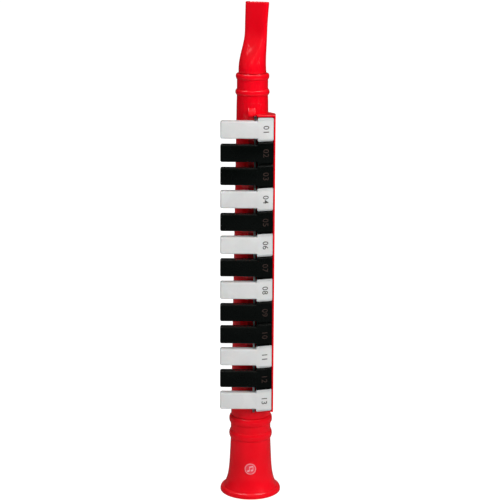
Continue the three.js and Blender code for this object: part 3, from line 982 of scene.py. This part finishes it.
def front_cutters():
    """What is open to the front: over the ridge, the tray's trough and the spring channel."""
    channel_sides, channel_floor_y = (-3, 1.2), ridge_front_y + 2
    trough_low = (ridge_sides[1], -ahead, tray_low_z + tray_wall)
    trough_high = (tray_right - tray_side_wall, tray_floor_y, tray_high_z - tray_wall)
    trough = block("trough", trough_low, trough_high)
    soften(trough, lambda a, b: a.y > -15 and b.y > -15, 0.4, 3)
    over = block("over", (-far, -ahead, tray_low_z - 5), (3.6, ridge_front_y, tray_high_z + 10))
    channel_low = (channel_sides[0], ridge_front_y - 5, keys_low_z)
    channel_high = (channel_sides[1], channel_floor_y, tray_high_z - tray_wall)
    return over, trough, block("channel", channel_low, channel_high)


# %% Posts, ribs and holes
pivot_x, pivot_y, pivot_radius = 2.4, -20.3, 0.9
bore_play = 0.08
post_radius, post_half = 1.65, 1.3
post_slots = (0, 3, 6, 9, key_count)
post_end_shift = {0: -0.5, key_count: 0.1}
air_hole = (11.0, 5.0, 7.0)


def pivot_post(boundary):
    """A half-round post with a flat foot, standing in the gap between two keys."""
    middle = keys_high_z - boundary * key_pitch + post_end_shift.get(boundary, 0)
    low, high = middle - post_half, middle + post_half
    post = rod("post", post_radius, (pivot_x, pivot_y, low), (pivot_x, pivot_y, high), 48)
    foot_low = (pivot_x - post_radius, pivot_y, low)
    return join(post, block("foot", foot_low, (pivot_x + post_radius, tray_floor_y + 0.5, high)))


def cell_ribs():
    """Thin walls behind the floor that give each reed its own cell."""
    deep = tray_back_y + 1.6
    left_low = (cell_left - cell_rib, tray_back_y - 0.5, tray_low_z)
    ribs = [block("cell_wall", left_low, (cell_left, deep, tray_high_z))]
    for boundary in range(1, key_count):
        middle = keys_high_z - boundary * key_pitch
        low = (cell_left - 0.1, tray_back_y - 0.5, middle - cell_rib / 2)
        high = (tray_right - tray_side_wall + 0.1, deep, middle + cell_rib / 2)
        ribs.append(block("cell_rib", low, high))
    return ribs


def air_holes():
    middle_x, wide, tall = air_hole
    holes = []
    for number in key_numbers:
        low = (middle_x - wide / 2, tray_floor_y - 1, key_z(number) - tall / 2)
        high = (middle_x + wide / 2, tray_back_y + 1, key_z(number) + tall / 2)
        hole = block("air_hole", low, high)
        soften(hole, runs_back, 0.8, 3)
        holes.append(hole)
    return merge_objects("air_holes", holes)


# %% Join, cut and part the body
whole_body = join(outer_tube(), outer_tray(), outer_ridge())
cut(whole_body, inner_chamber(), *front_cutters())
join(whole_body, *cell_ribs(), *[pivot_post(boundary) for boundary in post_slots])
bore_ends = ((pivot_x, pivot_y, tray_low_z - 5), (pivot_x, pivot_y, tray_high_z + 5))
cut(whole_body, air_holes(), rod("pivot_bore", pivot_radius + bore_play, *bore_ends))
print("whole body:", len(whole_body.data.polygons), "faces")

# %% [markdown]
# Two moulded halves never meet perfectly, so a fine groove shows where they are glued. A thin
# plate that lies in the parting plane, with its middle turned away, cuts just that groove.

# %% Parting groove
groove_half, groove_depth = 0.15, 0.35


def groove_cutter():
    low, high = tube_low_z - 1, tube_high_z + 1
    plate = block("groove", (-far, -groove_half, low), (far, groove_half, high))
    bottom, top = tube_low_radius - groove_depth, tube_high_radius - groove_depth
    core = [(0, low - 1), (bottom, low - 1), (bottom, tube_low_z), (top, tube_high_z)]
    return cut(plate, turned("core", core + [(top, high + 1), (0, high + 1)], 128))


cut(whole_body, groove_cutter())


def half_shell(name, low_y, high_y):
    """A copy of the whole body without what lies between two depths."""
    half = whole_body.copy()
    half.data = whole_body.data.copy()
    bpy.context.collection.objects.link(half)
    half.name = name
    return cut(half, block("half", (-far, low_y, under_z), (far, high_y, over_z)))


parting = 0.01
front_shell = half_shell("front_shell", -parting, far)
back_shell = half_shell("back_shell", -far, parting)
bpy.data.objects.remove(whole_body, do_unlink=True)
finish_piece(front_shell, red_plastic, "body", "red_plastic", "body_front")
finish_piece(back_shell, red_plastic, "body", "red_plastic", "body_back")
print("shells:", len(front_shell.data.polygons), len(back_shell.data.polygons), "faces")

# %% [markdown]
# ## The keys
#
# Each key is a hollow moulded lever: a narrow bar for the finger and a wide end that leans back
# over the air hole. Thirteen keys come from one mould, so one key is modelled, finished in
# detail, and copied with its own mesh. The bar and the wide end are softened blocks that are
# joined, and the hollow is cut from behind, which leaves an even wall.

# %% Key blocks
key_left, key_step, key_right = -25.3, 4.3, 17.0
key_front, key_back = -24.6, -17.8
bar_half, wide_half = 6.95, (key_pitch - 0.6) / 2
key_wall = 1.4
key_slope = math.radians(16)
key_edge = 1.2
boss_size, boss_back = (5.6, 8.0), -16.9


def slope_y(x):
    """Front of the key at a place across it."""
    return key_front + max(0, x - key_step) * math.tan(key_slope)


def lean_back(obj):
    """Moves the front corners of a block's right end back to the slope."""
    edit(obj)
    pick_edges(obj, lambda a, b: min(a.x, b.x) > key_step + 1 and max(a.y, b.y) < -22)
    right = max(vertex.co.x for vertex in obj.data.vertices) / MM
    bpy.ops.transform.translate(value=(0, (slope_y(right) - key_front) * MM, 0))
    leave()
    return obj


def finger_bar():
    bar = block("bar", (key_left, key_front, -bar_half), (key_step + 2, key_back, bar_half))
    edit(bar)
    bpy.ops.mesh.bisect(plane_co=Vector((key_step, 0, 0)) * MM, plane_no=(1, 0, 0))
    leave()
    lean_back(bar)
    soften(bar, lambda a, b: max(a.x, b.x) < -25 and runs_back(a, b), 1.4, 6)

    def on_front(a, b):
        """An edge of the front face, but not its fold or its hidden right end."""
        fold = abs(a.x - key_step) < 0.1 and abs(b.x - key_step) < 0.1
        return max(a.y, b.y) < -23.5 and min(a.x, b.x) <= 6 and not fold

    return soften(bar, on_front, key_edge, 6)


def wide_end():
    high = (key_right, key_back, wide_half)
    wide = lean_back(block("wide", (key_step, key_front, -wide_half), high))
    soften(wide, lambda a, b: runs_back(a, b) and abs(a.z - b.z) < 0.1, 1.0, 5)
    return soften(wide, lambda a, b: max(a.y, b.y) < -20 and abs(a.y - b.y) < 4, 0.9, 5)


def key_hollows():
    bar_low = (key_left + key_wall, key_front + key_wall, -bar_half + key_wall)
    bar = block("bar_hollow", bar_low, (key_step - key_wall, key_back + 4, bar_half - key_wall))
    soften(bar, lambda a, b: max(a.y, b.y) < -23 or runs_back(a, b), 0.5, 3)
    wide_low = (key_step + key_wall, slope_y(key_step + key_wall) + key_wall, -wide_half + key_wall)
    wide_high = (key_right - key_wall, key_back + 4, wide_half - key_wall)
    wide = block("wide_hollow", wide_low, wide_high)
    edit(wide)
    pick_edges(wide, lambda a, b: min(a.x, b.x) > 12 and max(a.y, b.y) < -20)
    run = (key_right - key_step - 2 * key_wall) * math.tan(key_slope)
    bpy.ops.transform.translate(value=(0, run * MM, 0))
    leave()
    soften(wide, lambda a, b: max(a.y, b.y) < -18 and abs(a.y - b.y) < 4, 0.5, 3)
    return bar, wide


# %% One key, then thirteen
def make_key():
    key = cut(join(finger_bar(), wide_end()), *key_hollows())
    pad_x = air_hole[0]
    boss_low = (pad_x - boss_size[0] / 2, slope_y(pad_x) + key_wall - 0.4, -boss_size[1] / 2)
    boss_high = (pad_x + boss_size[0] / 2, boss_back, boss_size[1] / 2)
    boss = block("boss", boss_low, boss_high)
    soften(boss, runs_back, 0.5, 3)
    join(key, boss)
    ends = ((pivot_x, pivot_y, -key_pitch), (pivot_x, pivot_y, key_pitch))
    return smooth(cut(key, rod("bore", pivot_radius + bore_play, *ends)), 35)


def row_of_copies(pattern, name):
    """Puts a copy with its own mesh at each key and yields it, then takes the pattern away."""
    for number in key_numbers:
        piece = pattern.copy()
        piece.data = pattern.data.copy()
        piece.data.transform(Matrix.Translation((0, 0, key_z(number) * MM)))
        piece.name = f"{name}_{number:02d}"
        bpy.context.collection.objects.link(piece)
        yield number, f"{number:02d}", piece
    bpy.data.objects.remove(pattern, do_unlink=True)


key_pattern = make_key()
print("key pattern:", len(key_pattern.data.polygons), "faces")
for number, label, lever in row_of_copies(key_pattern, "lever"):
    colour, finish = ("white", white_plastic) if number in white_keys else ("black", black_plastic)
    lever.name = f"lever_{label}_{colour}"
    finish_piece(lever, finish, f"key_lever_{label}", f"{colour}_plastic", f"key_{label}", angle=35)

# %% [markdown]
# ## The numbers on the keys
#
# A number is printed on the leaning face of each key, lying on its side. Text is a curve in
# Blender, so it is given a hair of thickness and turned into a mesh before it is laid on the
# slope. Ink is modelled as a film that stands a few hundredths of a millimetre proud.

# %% Printed numbers
number_height = 6.6
number_x = 10.9
number_spacing = 1.08
ink_film, ink_spread = 0.03, 0.04


def printed_number(number):
    text = primitive(f"number_{number:02d}", bpy.ops.object.text_add)
    text.data.body = f"{number:02d}"
    text.data.align_x = "CENTER"
    text.data.align_y = "CENTER"
    text.data.size = number_height * MM
    text.data.extrude = 2 * ink_film * MM
    text.data.resolution_u = 6
    text.data.offset = ink_spread * MM
    text.data.space_character = number_spacing
    bpy.ops.object.convert(target="MESH")
    tilt = Vector((math.cos(key_slope), math.sin(key_slope), 0))
    out = Vector((math.sin(key_slope), -math.cos(key_slope), 0))
    place = Vector((number_x, slope_y(number_x), key_z(number))) * MM - out * ink_film * MM
    columns = Matrix((Vector((0, 0, -1)), tilt, out)).transposed().to_4x4()
    text.data.transform(Matrix.Translation(place) @ columns)
    edit(text)
    bpy.ops.mesh.remove_doubles(threshold=WELD / 2)
    bpy.ops.mesh.normals_make_consistent(inside=False)
    leave()
    return text


for number in key_numbers:
    ink = dark_ink if number in white_keys else faint_ink
    finish_piece(printed_number(number), ink, f"key_lever_{number:02d}", "black_plastic")
print("numbers printed:", key_count)

# %% [markdown]
# ## Pads and springs
#
# Under each wide end a foam pad closes the air hole, and a small coil spring in the channel of
# the ridge holds it shut. The spring is a wire section carried along a helix. Its end turns lie
# closer together, as they do in a real compression spring, so that it stands square.

# %% Pads
pad_half, pad_thick = (4, 5.5), 1.8
rest_gap = 0.3  # left between a moving piece and the body at rest


def make_pad():
    back = tray_floor_y - rest_gap
    low = (air_hole[0] - pad_half[0], back - pad_thick, -pad_half[1])
    pad = block("pad", low, (air_hole[0] + pad_half[0], back, pad_half[1]))
    soften(pad, runs_back, 1.6, 6)
    return soften(pad, lambda a, b: abs(a.y - b.y) < 0.01, 0.35, 3)


for number, label, pad in row_of_copies(make_pad(), "foam_pad"):
    finish_piece(pad, pad_foam, f"key_lever_{label}", "rubber", f"pad_{label}", angle=40)

# %% Springs
spring_x = -0.9
spring_radius = 1.6
spring_wire = 0.225
spring_turns, turn_steps = 5, 28
end_crowding = 0.8  # how much closer together the end turns lie
spring_low_y = ridge_front_y + 2 - rest_gap - spring_wire
spring_high_y = key_front + key_wall + rest_gap + spring_wire


def helix_place(share, angle):
    """A point of the wire's skin. The share runs from 0 at the channel to 1 at the key."""
    rise = share - end_crowding * math.sin(2 * math.pi * share) / (2 * math.pi)
    turn = share * spring_turns * 2 * math.pi
    reach = spring_radius + spring_wire * math.cos(angle)
    height = mix(spring_low_y, spring_high_y, rise) + spring_wire * math.sin(angle)
    return spring_x + reach * math.cos(turn), height, reach * math.sin(turn)


wire_steps = spring_turns * turn_steps
wire_shares = [step / wire_steps for step in range(wire_steps + 1)]
spring_pattern = ring_tube("spring", wire_shares, helix_place, 10, closed=False)
for number, label, spring in row_of_copies(spring_pattern, "coil"):
    finish_piece(spring, spring_steel, None, "steel", f"spring_{label}", angle=60)
    foot = Vector((spring_x, spring_low_y, key_z(number))) * MM
    head = Vector((spring_x, spring_high_y, key_z(number))) * MM
    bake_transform(spring)
print("springs:", spring_turns, "turns each")

# %% [markdown]
# ## Pivot rod, reeds and what they sit on
#
# The rod is a drawn steel bar with its ends broken by a small chamfer. Each reed is a brass
# tongue with a thicker foot, held by two rivets. The plate and the gasket are flat stamped
# sheets, whose solids already have the right shape, so they only get their finish.

# %% Pivot rod
rod_low, rod_high = node_box("pivot_rod")
pivot_rod = rod(
    "pivot_bar", pivot_radius, (pivot_x, pivot_y, rod_low.z), (pivot_x, pivot_y, rod_high.z), 48
)
soften(pivot_rod, lambda a, b: abs(a.z - b.z) < 0.01, 0.2, 2)
finish_piece(pivot_rod, rod_steel, "body", "steel", "pivot_rod")


# %% Reeds
foot_length, tongue_half = 2.4, 1.5
rivet_radius, rivet_height, rivet_shift = 0.5, 0.45, 1.1


def make_reed(number):
    """A thin tongue with rounded corners, on a thicker foot with two rivets."""
    low, high = node_box(f"reed_{number:02d}")
    middle = (low.z + high.z) / 2
    foot_right = low.x + foot_length
    foot = block("foot", low, (foot_right, high.y, high.z))
    soften(foot, lambda a, b: True, 0.12, 2)
    tongue_low = (foot_right - 0.3, low.y + 0.05, middle - tongue_half)
    tongue = block("tongue", tongue_low, (high.x, low.y + 0.35, middle + tongue_half))
    soften(tongue, lambda a, b: abs(a.y - b.y) > 0.1 and a.x > foot_right, 0.5, 4)
    join(foot, tongue)
    for shift in (-rivet_shift, rivet_shift):
        place = Vector((low.x + foot_length / 2, high.y - 0.3, middle + shift))
        rivet = rod("rivet", rivet_radius, place, place + Vector((0, rivet_height, 0)), 20)
        soften(rivet, lambda a, b: a.y > high.y + 0.1 and b.y > high.y + 0.1, 0.12, 2)
        join(foot, rivet)
    foot.name = f"tongue_{number:02d}"
    return foot


for number in key_numbers:
    finish_piece(make_reed(number), reed_brass, "body", "brass", f"reed_{number:02d}")
for node, material in (("reed_plate", plate_aluminium), ("reed_gasket", gasket_sheet)):
    solid_mesh = bpy.data.objects[node].data
    solid_mesh.materials.clear()
    solid_mesh.materials.append(material)
print("reeds:", key_count)

# %% [markdown]
# ## Floor, light and camera
#
# The instrument stands on a plain white floor under big soft lamps. The strongest two stand
# above the camera and to the right of it, so the left side of the tube lies in half shade. A
# dim one fills from the left, one hangs overhead, and one behind the instrument keeps its back
# from going dark. The last lamp lights nothing, and only draws a thin bright line on the rings.
# The camera stands a little above the mouthpiece and looks down.

# %% Floor
def make_floor_finish():
    """A pale floor that looks almost evenly white, and that glossy faces hardly mirror."""
    material = speckled("pale floor", (0.74, 0.74, 0.74), (0.78, 0.78, 0.78), 0.85, 40, 0)
    tree = material.node_tree
    paths = add(tree, "ShaderNodeLightPath")
    current = tree.nodes["Principled BSDF"].outputs["BSDF"]
    for ray, strength, amount in (("Is Camera Ray", 1.3, 0.8), ("Is Glossy Ray", 0.0, 0.85)):
        glow = add(tree, "ShaderNodeEmission", Strength=strength)
        blend = add(tree, "ShaderNodeMixShader")
        link(maths(tree, "MULTIPLY", paths.outputs[ray], amount), blend.inputs["Fac"])
        link(current, blend.inputs[1])
        link(glow.outputs["Emission"], blend.inputs[2])
        current = blend.outputs["Shader"]
    link(current, tree.nodes["Material Output"].inputs["Surface"])
    return material


floor_width = 200  # in metres, wide enough to reach the horizon in every view
floor = settle(primitive("floor", bpy.ops.mesh.primitive_plane_add, size=floor_width))
floor.data.materials.append(make_floor_finish())


# %% Lamps
def lamp(name, place, size, power, glint=False):
    """A rectangular soft lamp that looks at the middle of the instrument.

    A plain lamp lights the plastic and draws no streak on it. A glint lamp does the
    opposite: it only draws its own bright reflection on glossy edges.
    """
    light = primitive(name, bpy.ops.object.light_add, type="AREA", location=place)
    light.data.shape = "RECTANGLE"
    light.data.size, light.data.size_y = size
    light.data.energy = power
    light.visible_glossy = glint
    light.visible_diffuse = not glint
    aim = Vector((0, 0, 0.2)) - Vector(place)
    light.rotation_euler = aim.to_track_quat("-Z", "Y").to_euler()
    return light


lamp("front_lamp", (-0.25, -1.3, 1.6), (0.8, 0.8), 14)
lamp("right_lamp", (1.25, -1.1, 1.0), (0.6, 0.9), 19)
lamp("left_lamp", (-1.5, -0.7, 0.6), (0.6, 1.4), 1.5)
lamp("top_lamp", (0.1, -0.5, 1.9), (0.9, 0.7), 8)
lamp("back_lamp", (-0.3, 1.7, 0.9), (1.2, 1.0), 14)
lamp("ring_glint", (0.0, 0.15, 2.1), (2.2, 0.4), 40, glint=True)

world = bpy.data.worlds.new("studio")
bpy.context.scene.world = world
world.use_nodes = True
studio = world.node_tree
paths = add(studio, "ShaderNodeLightPath")
room_light, seen_extra, mirrored_extra = 0.1, 1.1, -0.08
seen = maths(studio, "MULTIPLY", paths.outputs["Is Camera Ray"], seen_extra)
mirrored = maths(studio, "MULTIPLY", paths.outputs["Is Glossy Ray"], mirrored_extra)
strength = maths(studio, "ADD", maths(studio, "ADD", seen, mirrored), room_light)
link(strength, studio.nodes["Background"].inputs["Strength"])
studio.nodes["Background"].inputs["Color"].default_value = (1, 1, 1, 1)
bpy.context.scene.view_settings.view_transform = "Standard"

# %% Camera
camera_place = (0.0, -1.314, 0.532)
camera_tilt = 13.9
camera_roll = -0.3
camera_turn = 0.13
bpy.ops.object.camera_add(
    location=camera_place,
    rotation=[math.radians(angle) for angle in (90 - camera_tilt, camera_roll, camera_turn)],
)
camera = bpy.context.object
camera.name = "camera"
camera.data.sensor_width = 36
camera.data.lens = 118.9
camera.data.clip_end = 50
camera.data.shift_y = 0.0042
bpy.context.scene.camera = camera
print("camera:", camera.location[:], "lens", camera.data.lens)
